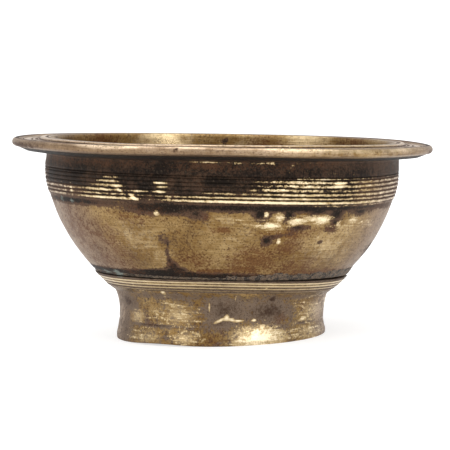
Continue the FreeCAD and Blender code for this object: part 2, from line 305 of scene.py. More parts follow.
# ------------------------ hand-made unevenness
# slow ups and downs of the rim as (bearing, half turn, millimetres)
BROW_LIFTS = ((-60, 38, -0.2), (138, 50, 0.26), (35, 30, 0.22), (-32, 24, -0.28))
FLANGE_SAGS = ((38, 30, 0.5), (94, 24, 0.3), (-92, 16, 0.1))


def bowl_wear(spots, bearing, radius, height):
    """Knocks, tilt and sag of the thin flange, a fuller belly, and lines that wander a little."""
    flange = ease(radius, 48.5, 53.5) * ease(height, 46.8, 48.4)
    brow = ease(height, 44.5, 48.0) * radius / 54
    up = brow * (0.29 * np.cos(np.radians(bearing)) + swells(bearing, BROW_LIFTS))
    up -= flange * swells(bearing, FLANGE_SAGS)
    dent = swell(bearing, 4, 10)
    up += flange * (0.12 * (1 - ease(height, 50.2, 51.0)) - 0.08) * dent
    band = ease(height, 34.5, 37.0) * (1 - ease(height, 43.2, 46.0)) * ease(radius, 44.9, 45.2)
    up -= band * 0.42 * swell(bearing, 44, 34)
    chip = swell(bearing, -12.2, 1.0) * ease(radius, 54.8, 55.4) * ease(height, 49.6, 50.6)
    wall = ease(radius, 12, 24) * (1 - ease(radius, 53.4, 54.9))
    full = np.exp(-(((height - 25) / 6.5) ** 2)) * ease(radius, 24, 30)
    out = full * (0.16 + 0.14 * swell(bearing, 90, 50))
    out += 0.07 * wall * ripple(spots, 16, 11) + 0.02 * wall * ripple(spots, 4, 12) - 0.4 * chip
    on_neck = (radius > 46) & (radius < 47.6)
    out -= 0.25 * swell(bearing, -85, 50) * ease(height, 44.6, 46.4) * on_neck
    return np.zeros(bearing.shape), out, up - 0.012 * brow


def foot_wear(spots, bearing, radius, height):
    """Level the foot's underside, let the collar's lines wander, and set the foot to the right."""
    ground = height - (spots @ lean[2]) / lean[2, 2]
    up = ground * (1 - ease(height, 0.0, 7.0))
    up += 0.5 * swell(bearing, -36, 24) * (1 - ease(height, 0.0, 4.0))
    collar = ease(height, 12.9, 13.6) * (1 - ease(height, 16.4, 16.9)) * ease(radius, 28.6, 29.0)
    sides = 1 - swell(bearing, 0, 48) - 0.6 * swell(bearing, 180, 60)
    up -= collar * 0.6 * sides
    side = ease(radius, 26.2, 26.8)
    tool = np.exp(-(((height - 4.6) / 0.35) ** 2)) * side
    out = side * ease(height, 0.3, 2.0) * 0.05 * ripple(spots, 11, 21) - 0.1 * tool
    out -= collar * (0.18 + 0.3 * sides)
    right = np.interp(height, (0, 7, 10.5, 13.2, 14.5, 16.7), (0.58, 0.64, 0.5, 0.25, 0.4, 0.3))
    return right, out, up


def solder_wear(spots, bearing, radius, height):
    """The solder's face stands in grains and lumps, and follows the collar to the right."""
    shown = ease(radius, 32.6, 33.2) * ease(height, 16.7, 17.0)
    lumps = 0.13 * ripple(spots, 1.2, 31) + 0.16 * ripple(spots, 5, 32)
    return shown * 0.5, shown * (lumps - 0.05), shown * lumps * 0.7


# ------------------------ lathe
def set_floats(mesh, name, values):
    layer = mesh.attributes.new(name, "FLOAT", "POINT")
    layer.data.foreach_set("value", np.asarray(values, np.float32).ravel())


def set_places(mesh, points):
    layer = mesh.attributes.new("spot", "FLOAT_VECTOR", "POINT")
    layer.data.foreach_set("vector", np.asarray(points, np.float32).ravel())


def make_object(name, points, faces, spots, fields):
    mesh = bpy.data.meshes.new(name)
    mesh.from_pydata(in_frame(points).tolist(), [], faces)
    set_places(mesh, spots)
    for field, values in fields.items():
        set_floats(mesh, field, values)
    mesh.shade_smooth()
    mesh.update()
    piece = bpy.data.objects.new(name, mesh)
    bpy.context.scene.collection.objects.link(piece)
    return piece


def lathe(name, outline, wear, marks, segments=SEGMENTS, closed=False):
    """Turn an outline about the axis, then bend it: wear gives (right, out, up) shifts.

    An open outline starts and ends on the axis, where each end becomes a single point. Each entry
    of marks works out one of the material's fields from bearing, radius and height.
    """
    radii, heights = (np.array(column) for column in zip(*outline))
    turns = np.arange(segments) * 360.0 / segments
    bearing = np.broadcast_to(turns, (len(radii), segments))
    radius = np.broadcast_to(radii[:, None], bearing.shape)
    height = np.broadcast_to(heights[:, None], bearing.shape)
    sine, cosine = np.sin(np.radians(bearing)), np.cos(np.radians(bearing))
    spots = np.stack([radius * sine, -radius * cosine, height], axis=-1)
    right, out, up = wear(spots, bearing, radius, height)
    reach = radius + out
    points = np.stack([reach * sine + right, -reach * cosine, height + up], axis=-1)
    fields = {field: layer(bearing, radius, height) for field, layer in marks.items()}

    keep = np.ones(bearing.shape, bool)
    if not closed:
        keep[0, 1:] = keep[-1, 1:] = False
    number = np.cumsum(keep.ravel()).reshape(keep.shape) - 1
    if not closed:
        number[0, :], number[-1, :] = number[0, 0], number[-1, 0]
    faces = []
    rows = len(radii)
    for row in range(rows if closed else rows - 1):
        here, above = number[row], number[(row + 1) % rows]
        for column in range(segments):
            after = (column + 1) % segments
            face = (here[column], here[after], above[after], above[column])
            faces.append([int(v) for v in dict.fromkeys(face)])
    shown = keep.ravel()
    return make_object(
        name, points.reshape(-1, 3)[shown], faces, spots.reshape(-1, 3)[shown],
        {field: values.ravel()[shown] for field, values in fields.items()},
    )


# ------------------------ wear marks, painted highlights and painted shade
def inside_marks(bearing, height, marks):
    """How deep each place lies in a mark: strength in its middle, 0 at its edge, less outside.

    A mark is (bearing, height, half turn, half height, rise per degree, strength). Where marks
    overlap the highest counts, and nothing falls below -1.
    """
    best = np.full(bearing.shape, -1.0)
    for middle, level, half_turn, half_height, rise, strength in marks:
        along = off_bearing(bearing, middle)
        up = height - level - rise * along
        reach = np.sqrt((along / half_turn) ** 2 + (up / half_height) ** 2)
        slope = np.where(reach < 1, strength, max(strength, 1.0))
        best = np.maximum(best, slope * (1 - reach))
    return best


def scattered(seed, count, bearings, heights, half_turns, half_heights, strengths):
    """Marks strewn over the back or the inside, at random but alike on every run."""
    dice = np.random.default_rng(seed)
    return [
        (
            dice.uniform(*bearings), dice.uniform(*heights), dice.uniform(*half_turns),
            dice.uniform(*half_heights), 0.0, dice.uniform(*strengths),
        )
        for _ in range(count)
    ]


# bearings that the strewn marks keep to
REAR = (82, 278)
ALL_ROUND = (0, 360)
# each table from here on holds marks as inside_marks reads them
LINE_RUBS = (
    (-38, 42.0, 4.5, 0.55, 0, 1.0), (-37.5, 42.9, 4, 0.35, 0, 0.5), (-39, 40.8, 6, 0.5, 0, 0.8),
    (-35.5, 40.6, 3, 0.7, 0, 1.5), (-34.3, 39.8, 2.6, 0.6, -0.62, 2.4), (-42, 39.65, 10, 0.5, 0, 0.9),
    (-27, 39.6, 3, 0.3, 0, 0.9), (-20, 39.8, 2.8, 0.4, 0, 1.6), (-19, 41.0, 2.3, 0.35, 0, 1.5),
    (-19.5, 42.1, 2.7, 0.5, 0, 2.2), (-29.3, 38.0, 2.0, 0.9, -0.35, 3.2), (-41, 37.65, 12, 0.5, 0, 1.2),
    (-44, 38.5, 10, 0.4, 0, 0.5), (-60.8, 39.3, 0.9, 1.1, 0, 1.3), (-57, 38.9, 1.1, 1.5, 0, 1.5),
    (-71, 39.65, 14, 0.9, 0, 0.2), (-72, 38.3, 14, 0.8, 0, 0.1), (-17, 38.2, 1.3, 0.7, 0, 2.2),
    (16, 37.6, 36, 0.6, 0, 2.0), (14, 38.55, 32, 0.5, 0, 1.1), (28, 39.5, 24, 0.6, 0, 1.0),
    (0, 39.6, 5, 0.35, 0, 0.5), (25, 40.7, 14, 0.6, 0, 0.7), (27, 41.8, 13, 0.7, 0, 0.9),
    (26, 42.75, 13, 0.7, 0, 1.2), (32, 43.7, 9, 0.35, 0, 0.7), (39.8, 42.3, 3.6, 1.25, 0.05, 3.6),
    (54, 37.7, 30, 1.1, 0, 0.7), (56, 39.5, 30, 1.4, 0, 0.45), (62, 41.9, 24, 2.4, 0, 0.35),
    (63.2, 37.4, 1.5, 0.55, -0.2, 1.8),
)
BELLY_RUBS = (
    (-21.8, 34.1, 1.2, 0.85, 0, 1.7), (5, 32.9, 9, 0.45, 0, 0.9), (9, 32.2, 6, 0.3, 0, 0.8),
    (13, 31.5, 5, 0.5, 0, 1.3), (17, 31.5, 4.6, 1.0, 0, 2.6), (18, 30.3, 4, 0.7, 0, 0.8),
    (14.8, 34.3, 1.0, 1.0, -0.2, 2.2), (19.6, 33.5, 2.1, 1.5, -0.3, 1.9), (26.5, 32.7, 5, 1.2, 0, 2.0),
    (25, 31.8, 3.4, 0.6, 0.1, 1.5), (31, 33.4, 6, 1.0, 0, 1.6), (36, 32.9, 5, 1.6, 0, 2.3),
    (43.8, 31.7, 1.6, 0.8, 0, 1.6), (51, 32.6, 2.8, 1.2, 0, 1.2), (47, 31.0, 6, 0.8, 0, 0.5),
    (20.7, 27.4, 1.0, 1.0, 0, 2.6), (37, 28.3, 1.2, 0.6, 0, 0.9), (60, 31.5, 6, 1.2, 0, 0.6),
)
NECK_RUBS = (
    (-5, 47.3, 6.0, 0.2, -0.015, 1.2), (4, 47.15, 4.2, 0.2, 0, 0.7), (12, 47.1, 3.4, 0.22, 0, 1.1),
    (15.2, 47.1, 1.3, 0.3, 0, 1.1), (22, 46.3, 0.9, 0.34, 0, 2.3), (-69, 43.6, 1.0, 0.4, 0, 1.5),
)
# painted glints along the top of the bead, kept as rubs
BEAD_PAINTED_GLINTS = ((-30, 51.2, 9, 0.35, 0, 0.6), (22, 51.2, 9, 0.35, 0, 0.6))
# painted highlights and sheen along the bead
BEAD_PAINTED_HIGHLIGHTS = ((-31, 51.2, 17, 0.85, 0, 1.9), (21, 51.15, 16, 0.85, 0, 1.9), (-9, 51.1, 12, 0.7, 0, 1.1),
              (56, 50.9, 18, 1.0, 0, 0.9), (160, 51.0, 60, 0.9, 0, 0.8), (-130, 51.1, 30, 0.8, 0, 1.0))
# soot in the chip at bearing -12, and painted shade under the bead's left and right ends
BEAD_SOOT_AND_SHADE = ((-12.4, 50.35, 0.5, 0.6, 0, 1.6), (-12.0, 50.8, 0.3, 0.3, 0, 1.4),
             (-72, 49.9, 14, 0.8, 0, 0.9), (84, 49.8, 9, 0.7, 0, 0.8))
# painted highlights on the lit parts of the belly
BELLY_PAINTED_HIGHLIGHTS = ((-34, 27, 15, 8, 0, 0.3), (-24, 23, 8, 4, 0, 0.25), (40, 26, 20, 8, 0, 0.42),
               (4, 26, 13, 8, 0, 0.15), (0, 32.6, 8, 2.2, 0, 0.3))
# painted reflections on the inside wall and floor
WELL_PAINTED_REFLECTIONS = ((-158.5, 47, 14, 9, 0, 1.5), (147, 47, 15, 9, 0, 1.2), (170, 49, 9, 5, 0, 0.5),
              (-100, 38, 26, 9, 0, 0.9), (35, 32, 34, 8, 0, 0.9), (-20, 24, 24, 6, 0, 0.7),
              (0, 12, 400, 1.6, 0, 0.5))
OUTER_SOOT = (
    (-1, 42.6, 15, 2.8, 0, 1.9), (-25, 40.4, 7.5, 4.2, 0, 1.9), (20, 36.0, 84, 1.5, 0, 1.9),
    (-20, 35.6, 20, 2.4, 0, 2.1), (-8, 34.4, 5, 2.2, 0, 1.1), (13, 34.6, 3.8, 2.4, 0, 1.8),
    (22.5, 34.4, 2.8, 2.4, 0, 1.6), (41.5, 34.4, 4.8, 2.6, 0, 1.7), (42, 32, 2.4, 1.6, 0, 1.5),
    (33, 35.2, 6, 1.3, 0, 1.6), (53, 34.8, 7, 1.3, 0, 1.4), (31, 34.6, 1.2, 1.4, 0, 1.1),
    (-58, 36.1, 38, 1.3, 0, 1.7), (33, 41.0, 14, 0.45, 0, 1.0), (42, 40.6, 5, 0.7, 0, 1.7),
    (45.2, 41.4, 1.2, 1.4, 0, 1.7), (27, 30.9, 5.0, 1.0, 0, 1.4), (41, 30.6, 4.0, 1.0, 0, 1.3),
    (16.2, 27.6, 2.7, 1.6, 0, 1.7), (18.2, 28.6, 3.4, 0.8, 0, 1.3), (21, 28.9, 5, 0.6, 0.1, 0.9),
    (38, 27, 1.2, 0.6, 0, 1.2),
    (-20.5, 26.8, 2.4, 2.2, 0, 0.35), (-19.5, 26.3, 0.9, 1.8, 0, 1.2), (-20.4, 23.6, 0.75, 1.9, 0, 1.5),
    (-20.2, 21.6, 1.3, 1.4, 0, 2.1), (-19.4, 20.3, 2.8, 1.4, 0, 2.4), (-18.4, 19.2, 6.0, 1.3, 0, 2.2),
    (-20, 18.3, 10, 0.8, 0, 1.5), (4, 18.4, 12, 0.7, 0, 1.3), (-27, 33.9, 3, 0.6, 0, 0.9),
)
RUST = (
    (-5.2, 33.4, 1.8, 1.0, 0, 1.0), (0.5, 30.2, 5.0, 1.1, 0, 1.4), (13, 22.2, 13, 4.6, 0, 1.15),
    (10, 20.0, 11, 1.8, 0, 1.3), (-3, 19.2, 14, 1.1, 0, 1.2), (42, 18.8, 32, 1.3, 0, 1.2),
    (-9, 21.5, 10, 3.6, 0, 0.6), (25, 25.2, 9, 3.4, 0, 0.8), (25, 29.4, 13, 2.2, 0, 0.9),
    (31, 20.5, 16, 3.0, 0, 0.7), (-33, 33.4, 14, 2.2, 0, 0.45),
    (-62, 27, 18, 8, 0, 0.6), (-45, 46.6, 26, 1.0, 0, 0.6), (-70, 28, 12, 6, 0, 0.4),
    (-43, 25, 8, 9, -0.9, 0.5), (-52, 21, 14, 3, 0, 0.6), (-64, 31, 10, 5, 0, 0.5),
    (36, 30.4, 12, 1.4, 0, 0.6), (18, 46.6, 20, 1.2, 0, 0.5), (-5, 46.5, 14, 1.0, 0, 0.6),
)
BLOOM = ((-66.5, 36.2, 2.2, 0.9, 0, 0.75), (-59, 35.9, 2.2, 0.7, 0, 0.7),
         (-52.5, 17.3, 3.4, 1.1, 0, 1.6), (-62, 17.4, 4, 0.8, 0, 0.9),
         (200, 17.5, 6, 0.9, 0, 1.3), (128, 36.2, 4, 0.8, 0, 1.0))
# the low rub at bearing 22 is worn bare metal, partly a painted highlight
FOOT_RUBS = (
    (-22, 6.6, 9, 3.0, 0, 0.6), (-29, 9.6, 5, 1.4, 0, 0.6), (-35, 6.6, 8, 1.6, 0, 0.5),
    (-53, 5.8, 5.6, 1.2, 0, 0.7), (-48, 1.8, 11, 2.0, 0, 0.45), (-21, 1.8, 9, 2.1, 0, 0.6),
    (63, 8.2, 16, 3.2, 0, 0.5), (52, 6.1, 4.5, 0.6, 0, 1.3), (60, 2.2, 22, 2.2, 0, 0.7),
    (22, 1.8, 16, 3.2, 0, 2.6), (10, 1.4, 6, 1.2, 0, 1.2), (-30, 13.0, 1.8, 0.45, -0.1, 2.0),
    (50, 10.3, 3, 0.5, 0, 0.8),
)
FOOT_FLECKS = (
    (-0.8, 6.0, 4.2, 0.5, 0.19, 2.2), (2.7, 6.75, 1.6, 0.95, 0, 2.2), (2.6, 6.3, 3.2, 0.55, 0, 2.2),
    (5.2, 6.2, 3.4, 0.48, -0.08, 2.4), (9.0, 5.95, 4.2, 0.36, 0, 2.6),
    (18, 6.1, 1.7, 0.45, 0, 2.6), (-6.6, 9.3, 0.7, 1.6, 0.9, 1.7), (7.6, 12.0, 0.7, 0.9, 0.4, 1.7),
)
# painted highlights on the foot's side; the strongest is the cream one low at the front right
FOOT_PAINTED_HIGHLIGHTS = ((22, 1.9, 20, 3.8, 0, 2.8), (-24, 7.0, 16, 4.6, 0, 0.75), (-54, 5.8, 9, 2.6, 0, 0.9),
              (64, 7.5, 18, 5.0, 0, 0.9), (62, 1.8, 26, 3.0, 0, 0.8), (-45, 1.6, 17, 2.6, 0, 0.7),
              (-20, 1.8, 9, 2.2, 0, 0.9))
COLLAR_SCRATCHES = (
    (-46.5, 15.0, 1.3, 0.9, 0, 1.6), (-33.5, 14.8, 1.0, 0.9, 0, 1.4), (-27, 15.8, 1.2, 0.35, 0, 1.4),
    (-18, 14.5, 1.6, 0.35, 0, 1.2), (21.5, 14.9, 1.5, 0.7, -0.1, 1.8), (14, 14.4, 1.2, 0.4, 0, 1.3),
)
FOOT_SOOT = (
    (2, 9, 17, 5.4, 0, 1.3), (26, 8.2, 22, 4.6, 0, 1.3), (0, 5.2, 12, 2.0, 0, 1.1),
    (-62, 9.5, 14, 3.4, 0, 1.2), (-30, 12.2, 40, 1.6, 0, 1.1), (40, 12.2, 40, 1.4, 0, 0.9),
    (-40, 4.25, 30, 0.45, 0, 1.4), (53, 4.9, 13, 0.5, 0, 1.3), (-46, 5.2, 2.4, 1.4, 0, 1.2),
    (-32, 1.7, 3, 1.0, 0, 0.9), (28, 11.4, 3.4, 1.1, 0, 1.7), (-66, 3.0, 7, 4.0, 0, 1.0),
    (30, 4.3, 14, 1.0, 0, 1.0),
)
FOOT_RUST = ((34.5, 6.3, 4.5, 1.6, 0, 1.3), (50, 9.6, 4, 1.8, 0, 1.1), (-4, 1.3, 8, 2.4, 0, 0.9),
             (-63, 14.8, 2.5, 0.6, 0, 1.2), (62, 14.7, 3, 0.5, 0, 1.1), (-44, 5, 5, 1.6, 0, 0.6))
REAR_LINE_RUBS = scattered(41, 26, REAR, (37.4, 43.6), (3, 16), (0.3, 0.6), (0.5, 1.6))
REAR_BELLY_RUBS = scattered(42, 9, REAR, (22, 34), (1, 6), (0.5, 1.4), (0.8, 1.6))
REAR_SOOT = scattered(43, 16, REAR, (19, 35), (2, 9), (0.6, 2.6), (0.6, 1.5))
REAR_RUST = scattered(44, 12, REAR, (18, 46), (4, 14), (1, 3.5), (0.6, 1.3))
REAR_FOOT_RUBS = scattered(45, 10, REAR, (1, 10), (4, 13), (0.8, 2.6), (0.7, 1.6))
REAR_FOOT_SOOT = scattered(46, 9, REAR, (2, 12), (5, 20), (1, 4), (0.8, 1.4))
WELL_STAINS = scattered(47, 34, ALL_ROUND, (18, 50), (3, 16), (1, 4), (0.5, 1.3)) + [
    (-132, 48, 9, 7, 0, 1.2), (165, 47, 9, 6, 0, 1.1), (124, 48, 9, 6, 0, 1.2),
]
WELL_SPOTS = scattered(48, 14, ALL_ROUND, (14, 48), (1, 5), (0.5, 2), (0.6, 1.4)) + [
    (179, 49.6, 1.5, 0.55, 0, 1.9),
]


# where one part of a surface ends and the next begins
RIM_EDGE, LAND_START = 53.5, 50.5
COLLAR_START = 13.2
FOOT_HOLLOW = 25.9


def is_well(radius, height):
    """True on the inside of the bowl."""
    lowest = WELL_FLOOR - 0.1
    curved = radius_on(INSIDE, np.maximum(height, lowest))
    wall = np.where(height > height_on(INSIDE, MOUTH), MOUTH, curved)
    return (height > lowest) & (radius < wall + 0.75)


def behind(bearing):
    """0 on the front and sides, and 1 on the back."""
    return ease(np.abs(off_bearing(bearing, 0)), 96, 120)


def to_left(bearing, start, end):
    """0 in front and 1 on the left, rising between two turns from the front."""
    return ease(-off_bearing(bearing, 0), start, end)


def to_right(bearing, start, end):
    """0 in front and 1 on the right, rising between two turns from the front."""
    return ease(off_bearing(bearing, 0), start, end)


def crest_between(places, lines, half):
    """1 on the crests between tool lines and 0 in the lines themselves."""
    away = np.min([np.abs(places - line) for line in lines], axis=0)
    return np.clip((away - 0.1) / half, 0, 1)


def bowl_crest(bearing, radius, height):
    """1 on the crests between the bowl's tool lines, 0 in the lines, and 0.6 on plain metal."""
    crest = np.full(bearing.shape, 0.6)
    on_band = (height > BAND_BOTTOM - 0.15) & (height < BAND_TOP + 0.2) & ~is_well(radius, height)
    band = crest_between(height, (BAND_BOTTOM, *SHOULDER_LINES, BAND_TOP), 0.26)
    crest = np.where(on_band, band, crest)
    on_land = (height > LAND_START) & (radius < RIM_EDGE + 0.1)
    round_ridge = (radius > 47.7) & (height > LAND + 0.15)
    land = np.where(round_ridge, 1.0, crest_between(radius, LAND_LINES, 0.3))
    return np.where(on_land, land, crest)


def bowl_rub(bearing, radius, height):
    """Bare metal where hands have rubbed the shoulder's lines, the belly and the neck, and painted
    glints along the bead.
    """
    rubs = (*LINE_RUBS, *BELLY_RUBS, *REAR_LINE_RUBS, *REAR_BELLY_RUBS)
    outer = inside_marks(bearing, height, rubs)
    outer = np.where(outer < 0, outer * 1.8, outer)
    outer = np.where(height > BAND_TOP + 0.1, inside_marks(bearing, height, NECK_RUBS), outer)
    # on the bead the rubs are painted glints
    outer = np.where(radius > RIM_EDGE, inside_marks(bearing, height, BEAD_PAINTED_GLINTS), outer)
    outer = np.where((height > LAND_START) & (radius < RIM_EDGE + 0.05), -0.6, outer)
    return np.where(is_well(radius, height), -0.5, outer)


def shoulder_soot(bearing, height):
    """Soot over the shoulder, thinner at both ends and on the neck, and painted shade, black, just
    under the flange.
    """
    ends = to_right(bearing, 24, 40) + to_left(bearing, 50, 62)
    on_neck = ease(height, 44.6, 46.6) * (1 - ease(height, 47.3, 48.0))
    neck = on_neck * (0.2 - 0.1 * swell(bearing, -12, 30))
    neck += 0.12 * ease(height, 43.6, 44.6) * ends
    left = 0.5 * to_left(bearing, 46, 56) * (1 - ease(height, 39.8, 40.6))
    right = 0.8 * to_right(bearing, 44, 52) * (1 - ease(height, 43.0, 44.0))
    # painted shade: black on the neck just under the flange
    painted_shade_under_flange = 0.8 * ease(height, 47.9, 48.4)
    return ease(height, 36.2, 37.4) * (1.1 - neck - left - right) + painted_shade_under_flange


def bowl_soot(bearing, radius, height):
    """Soot on the shoulder, along the solder, at the bead's chip and in spots inside; painted shade
    under the flange, along the bead's top and under the bead's ends; the land darker towards the back.
    """
    outer = inside_marks(bearing, height, (*OUTER_SOOT, *REAR_SOOT))
    joint_top = 18.75 + 0.7 * swell(bearing, -24, 18) - 0.3 * swell(bearing, 45, 30)
    joint = np.clip((joint_top - height) * 2.4, -1, 1.5)
    outer = np.maximum(outer, np.where(height > 36, shoulder_soot(bearing, height), joint))
    bead = inside_marks(bearing, height, BEAD_SOOT_AND_SHADE)
    # painted shade: a dark line along the inner top of the bead, fainter at the back
    painted_shade_bead_top = (height > 51.2) & (radius < 54.9)
    bead = np.where(painted_shade_bead_top, np.maximum(bead, 1.0 - 0.4 * behind(bearing)), bead)
    land = np.where(height > LAND_START, 0.35 * behind(bearing), outer)
    outer = np.where(radius > RIM_EDGE, bead, land)
    return np.where(is_well(radius, height), inside_marks(bearing, height, WELL_SPOTS), outer)


def bowl_rust(bearing, radius, height):
    """Copper-red stains on the outside and brown ones inside."""
    outer = inside_marks(bearing, height, (*RUST, *REAR_RUST))
    outer = np.where(radius > RIM_EDGE, -0.5, outer)
    return np.where(is_well(radius, height), inside_marks(bearing, height, WELL_STAINS), outer)


def bowl_painted_shine(bearing, radius, height):
    """Painted highlights and painted reflections, on smoother metal: the lit parts of the belly, the
    rim bead, the land and the inside.
    """
    belly = np.where(height < 36, inside_marks(bearing, height, BELLY_PAINTED_HIGHLIGHTS), -1.0)
    # painted sheen over the whole bead, brightest to the right and faint on its underside
    bead = 0.12 + 0.35 * swell(bearing, 24, 70) - 0.2 * ease(50.9 - height, 0, 1.2)
    bead = np.maximum(bead, inside_marks(bearing, height, BEAD_PAINTED_HIGHLIGHTS))
    on_crest = bowl_crest(bearing, radius, height) > 0.5
    # painted reflection along the land's crests, strong in front and faint at the back
    land = np.where(on_crest, 0.75 - 0.6 * behind(bearing), -0.8)
    outer = np.where(radius > RIM_EDGE, bead, np.where(height > LAND_START, land, belly))
    return np.where(is_well(radius, height), inside_marks(bearing, height, WELL_PAINTED_REFLECTIONS), outer)


def bowl_fray(bearing, radius, height):
    """How ragged the rubs are: broken up at the right of the shoulder, calmer at its ends."""
    band = 0.95 + 0.8 * swell(bearing, 28, 18) * ease(height, 39.8, 40.6)
    return np.where(height < 36.5, 1.15, band)


def bowl_tan_and_sheen(bearing, radius, height):
    """Pinkish tan with a painted sheen on the sides to the left and right of the front, and over the
    rim.
    """
    turn = off_bearing(bearing, 0)
    left = (-50 + (34 - height) * 0.86 - turn) / 12
    right = (turn - 58) / 14
    side = np.clip(np.maximum(left, right), -1, 1)
    side = np.where(np.abs(turn) > 95, 0.2, side)
    on_rim = (radius > RIM_EDGE) | (height > LAND_START)
    side = np.where(on_rim, 1.0 - 1.1 * swell(bearing, 42, 44), side)
    return np.where(is_well(radius, height), -0.6, side)


def bloom(bearing, radius, height):
    """Verdigris, on the outside only."""
    return np.where(is_well(radius, height), -1, inside_marks(bearing, height, BLOOM))


def foot_crest(bearing, radius, height):
    """1 on the crests between the collar's tool lines, 0 in the lines, and 0.6 on plain metal."""
    on_collar = (height > COLLAR_START - 0.1) & (height < COLLAR_TOP) & (radius > 29)
    return np.where(on_collar, crest_between(height, COLLAR_LINES, 0.12), 0.6)


def foot_rub(bearing, radius, height):
    """Bare metal on the foot's side, and on the crests of the collar, more so higher up."""
    rubs = (*FOOT_RUBS, *FOOT_FLECKS, *COLLAR_SCRATCHES, *REAR_FOOT_RUBS)
    marks = inside_marks(bearing, height, rubs)
    lines = 1.25 * ease(height, 13.0, 15.6) * (1 - ease(height, 16.2, 16.4)) - 0.1
    outer = np.maximum(marks, np.where(height > COLLAR_START, lines, -1))
    return np.where(radius < FOOT_HOLLOW, -0.6, outer)


def foot_soot(bearing, radius, height):
    """Soot in patches on the side, in the collar's lines, and thick beside the solder and inside."""
    marks = inside_marks(bearing, height, (*FOOT_SOOT, *REAR_FOOT_SOOT))
    marks = np.where(marks < 0, marks * 1.8, marks)
    lines = 0.8 * ease(height, COLLAR_START, COLLAR_START + 0.3)
    top = np.maximum(np.clip((height - 16.5) * 5, -1, 1.0), lines)
    return np.where(radius < FOOT_HOLLOW, 0.9, np.maximum(marks, top))


# painted highlights on the foot's outside
def foot_painted_shine(bearing, radius, height):
    return np.where(radius < FOOT_HOLLOW, -1, inside_marks(bearing, height, FOOT_PAINTED_HIGHLIGHTS))


def foot_fray(bearing, radius, height):
    """The collar's lines and the deep flecks have crisp edges; the rest of the rubs are ragged."""
    fleck = inside_marks(bearing, height, (*FOOT_FLECKS, *COLLAR_SCRATCHES)) > -0.6
    return np.where((height > COLLAR_START) | fleck, 0.3, 1.25)


def foot_rust(bearing, radius, height):
    return inside_marks(bearing, height, FOOT_RUST)


def foot_tan_and_sheen(bearing, radius, height):
    """Pinkish tan with a painted sheen on the sides and back."""
    return np.clip((np.abs(off_bearing(bearing, 0)) - 62) / 12, -1, 1)


# ------------------------ material building
class Look:
    """A node material, put together with short calls."""

    def __init__(self, name):
        self.material = bpy.data.materials.new(name)
        self.material.use_nodes = True
        self.tree = self.material.node_tree
        self.tree.nodes.clear()
        self.shader = self.node("ShaderNodeBsdfPrincipled")
        output = self.node("ShaderNodeOutputMaterial")
        self.tree.links.new(self.shader.outputs["BSDF"], output.inputs["Surface"])

    def node(self, kind, **settings):
        made = self.tree.nodes.new(kind)
        for key, value in settings.items():
            setattr(made, key, value)
        return made

    def put(self, socket, value):
        """Join a socket to another, or set it to a plain value."""
        if isinstance(value, bpy.types.NodeSocket):
            self.tree.links.new(value, socket)
        else:
            socket.default_value = value

    def math(self, operation, first, second=0.0):
        made = self.node("ShaderNodeMath", operation=operation)
        self.put(made.inputs[0], first)
        self.put(made.inputs[1], second)
        return made.outputs[0]

    def add(self, *terms):
        total = terms[0]
        for term in terms[1:]:
            total = self.math("ADD", total, term)
        return total

    def times(self, first, second):
        return self.math("MULTIPLY", first, second)

    def weigh(self, *parts):
        """Sum of parts, each given as (socket, weight)."""
        return self.add(*(self.times(part, weight) for part, weight in parts))

    def mix(self, share, first, second):
        """Mix of two colours: the first where share is 0, the second where it is 1."""
        made = self.node("ShaderNodeMix", data_type="RGBA")
        self.put(made.inputs["Factor"], share)
        self.put(made.inputs[6], first)
        self.put(made.inputs[7], second)
        return made.outputs[2]

    def blend(self, share, first, second):
        """Mix of two plain values, as mix does for colours."""
        made = self.node("ShaderNodeMix", data_type="FLOAT")
        self.put(made.inputs["Factor"], share)
        self.put(made.inputs[2], first)
        self.put(made.inputs[3], second)
        return made.outputs[0]

    def step(self, value, low, high, top=1.0):
        """0 where value is below low, top where it is above high, and a smooth rise between."""
        made = self.node("ShaderNodeMapRange", interpolation_type="SMOOTHSTEP")
        self.put(made.inputs["Value"], value)
        for key, number in (("From Min", low), ("From Max", high), ("To Min", 0.0), ("To Max", top)):
            made.inputs[key].default_value = number
        return made.outputs["Result"]

    def field(self, name, output="Fac"):
        """One of the mesh's fields, stored at its points."""
        return self.node("ShaderNodeAttribute", attribute_name=name).outputs[output]

    def stretched(self, vector, scale):
        made = self.node("ShaderNodeVectorMath", operation="MULTIPLY")
        self.put(made.inputs[0], vector)
        made.inputs[1].default_value = scale
        return made.outputs["Vector"]

    def noise(self, vector, scale, detail=3.0, rough=0.55, swirl=0.0):
        """Noise about zero, from about -0.5 to 0.5; scale is in bumps per millimetre."""
        made = self.node("ShaderNodeTexNoise")
        self.put(made.inputs["Vector"], vector)
        settings = {"Scale": scale, "Detail": detail, "Roughness": rough, "Distortion": swirl}
        for key, number in settings.items():
            made.inputs[key].default_value = number
        return self.math("SUBTRACT", made.outputs["Fac"], 0.5)

    def bump(self, height, distance):
        """Relief in the surface's light; distance is in metres."""
        made = self.node("ShaderNodeBump")
        made.inputs["Distance"].default_value = distance
        self.put(made.inputs["Height"], height)
        self.put(self.shader.inputs["Normal"], made.outputs["Normal"])


WHITE = (1.0, 1.0, 1.0, 1.0)
STRAW = srgb(162, 136, 92)
OLIVE = srgb(122, 94, 55)
# pinkish tan, partly a painted sheen
TAN_AND_SHEEN = srgb(132, 109, 87)
COPPER = srgb(98, 62, 36)
UMBER = srgb(78, 54, 36)
BARE = srgb(244, 226, 190)
VERDIGRIS = srgb(128, 136, 128)
RUSSET = srgb(96, 62, 40)
AMBER = srgb(118, 84, 44)
# cream of the painted highlights
PAINTED_HIGHLIGHT_CREAM = srgb(234, 210, 166)
SOOT = srgb(18, 13, 11)
DUST = srgb(84, 63, 49)
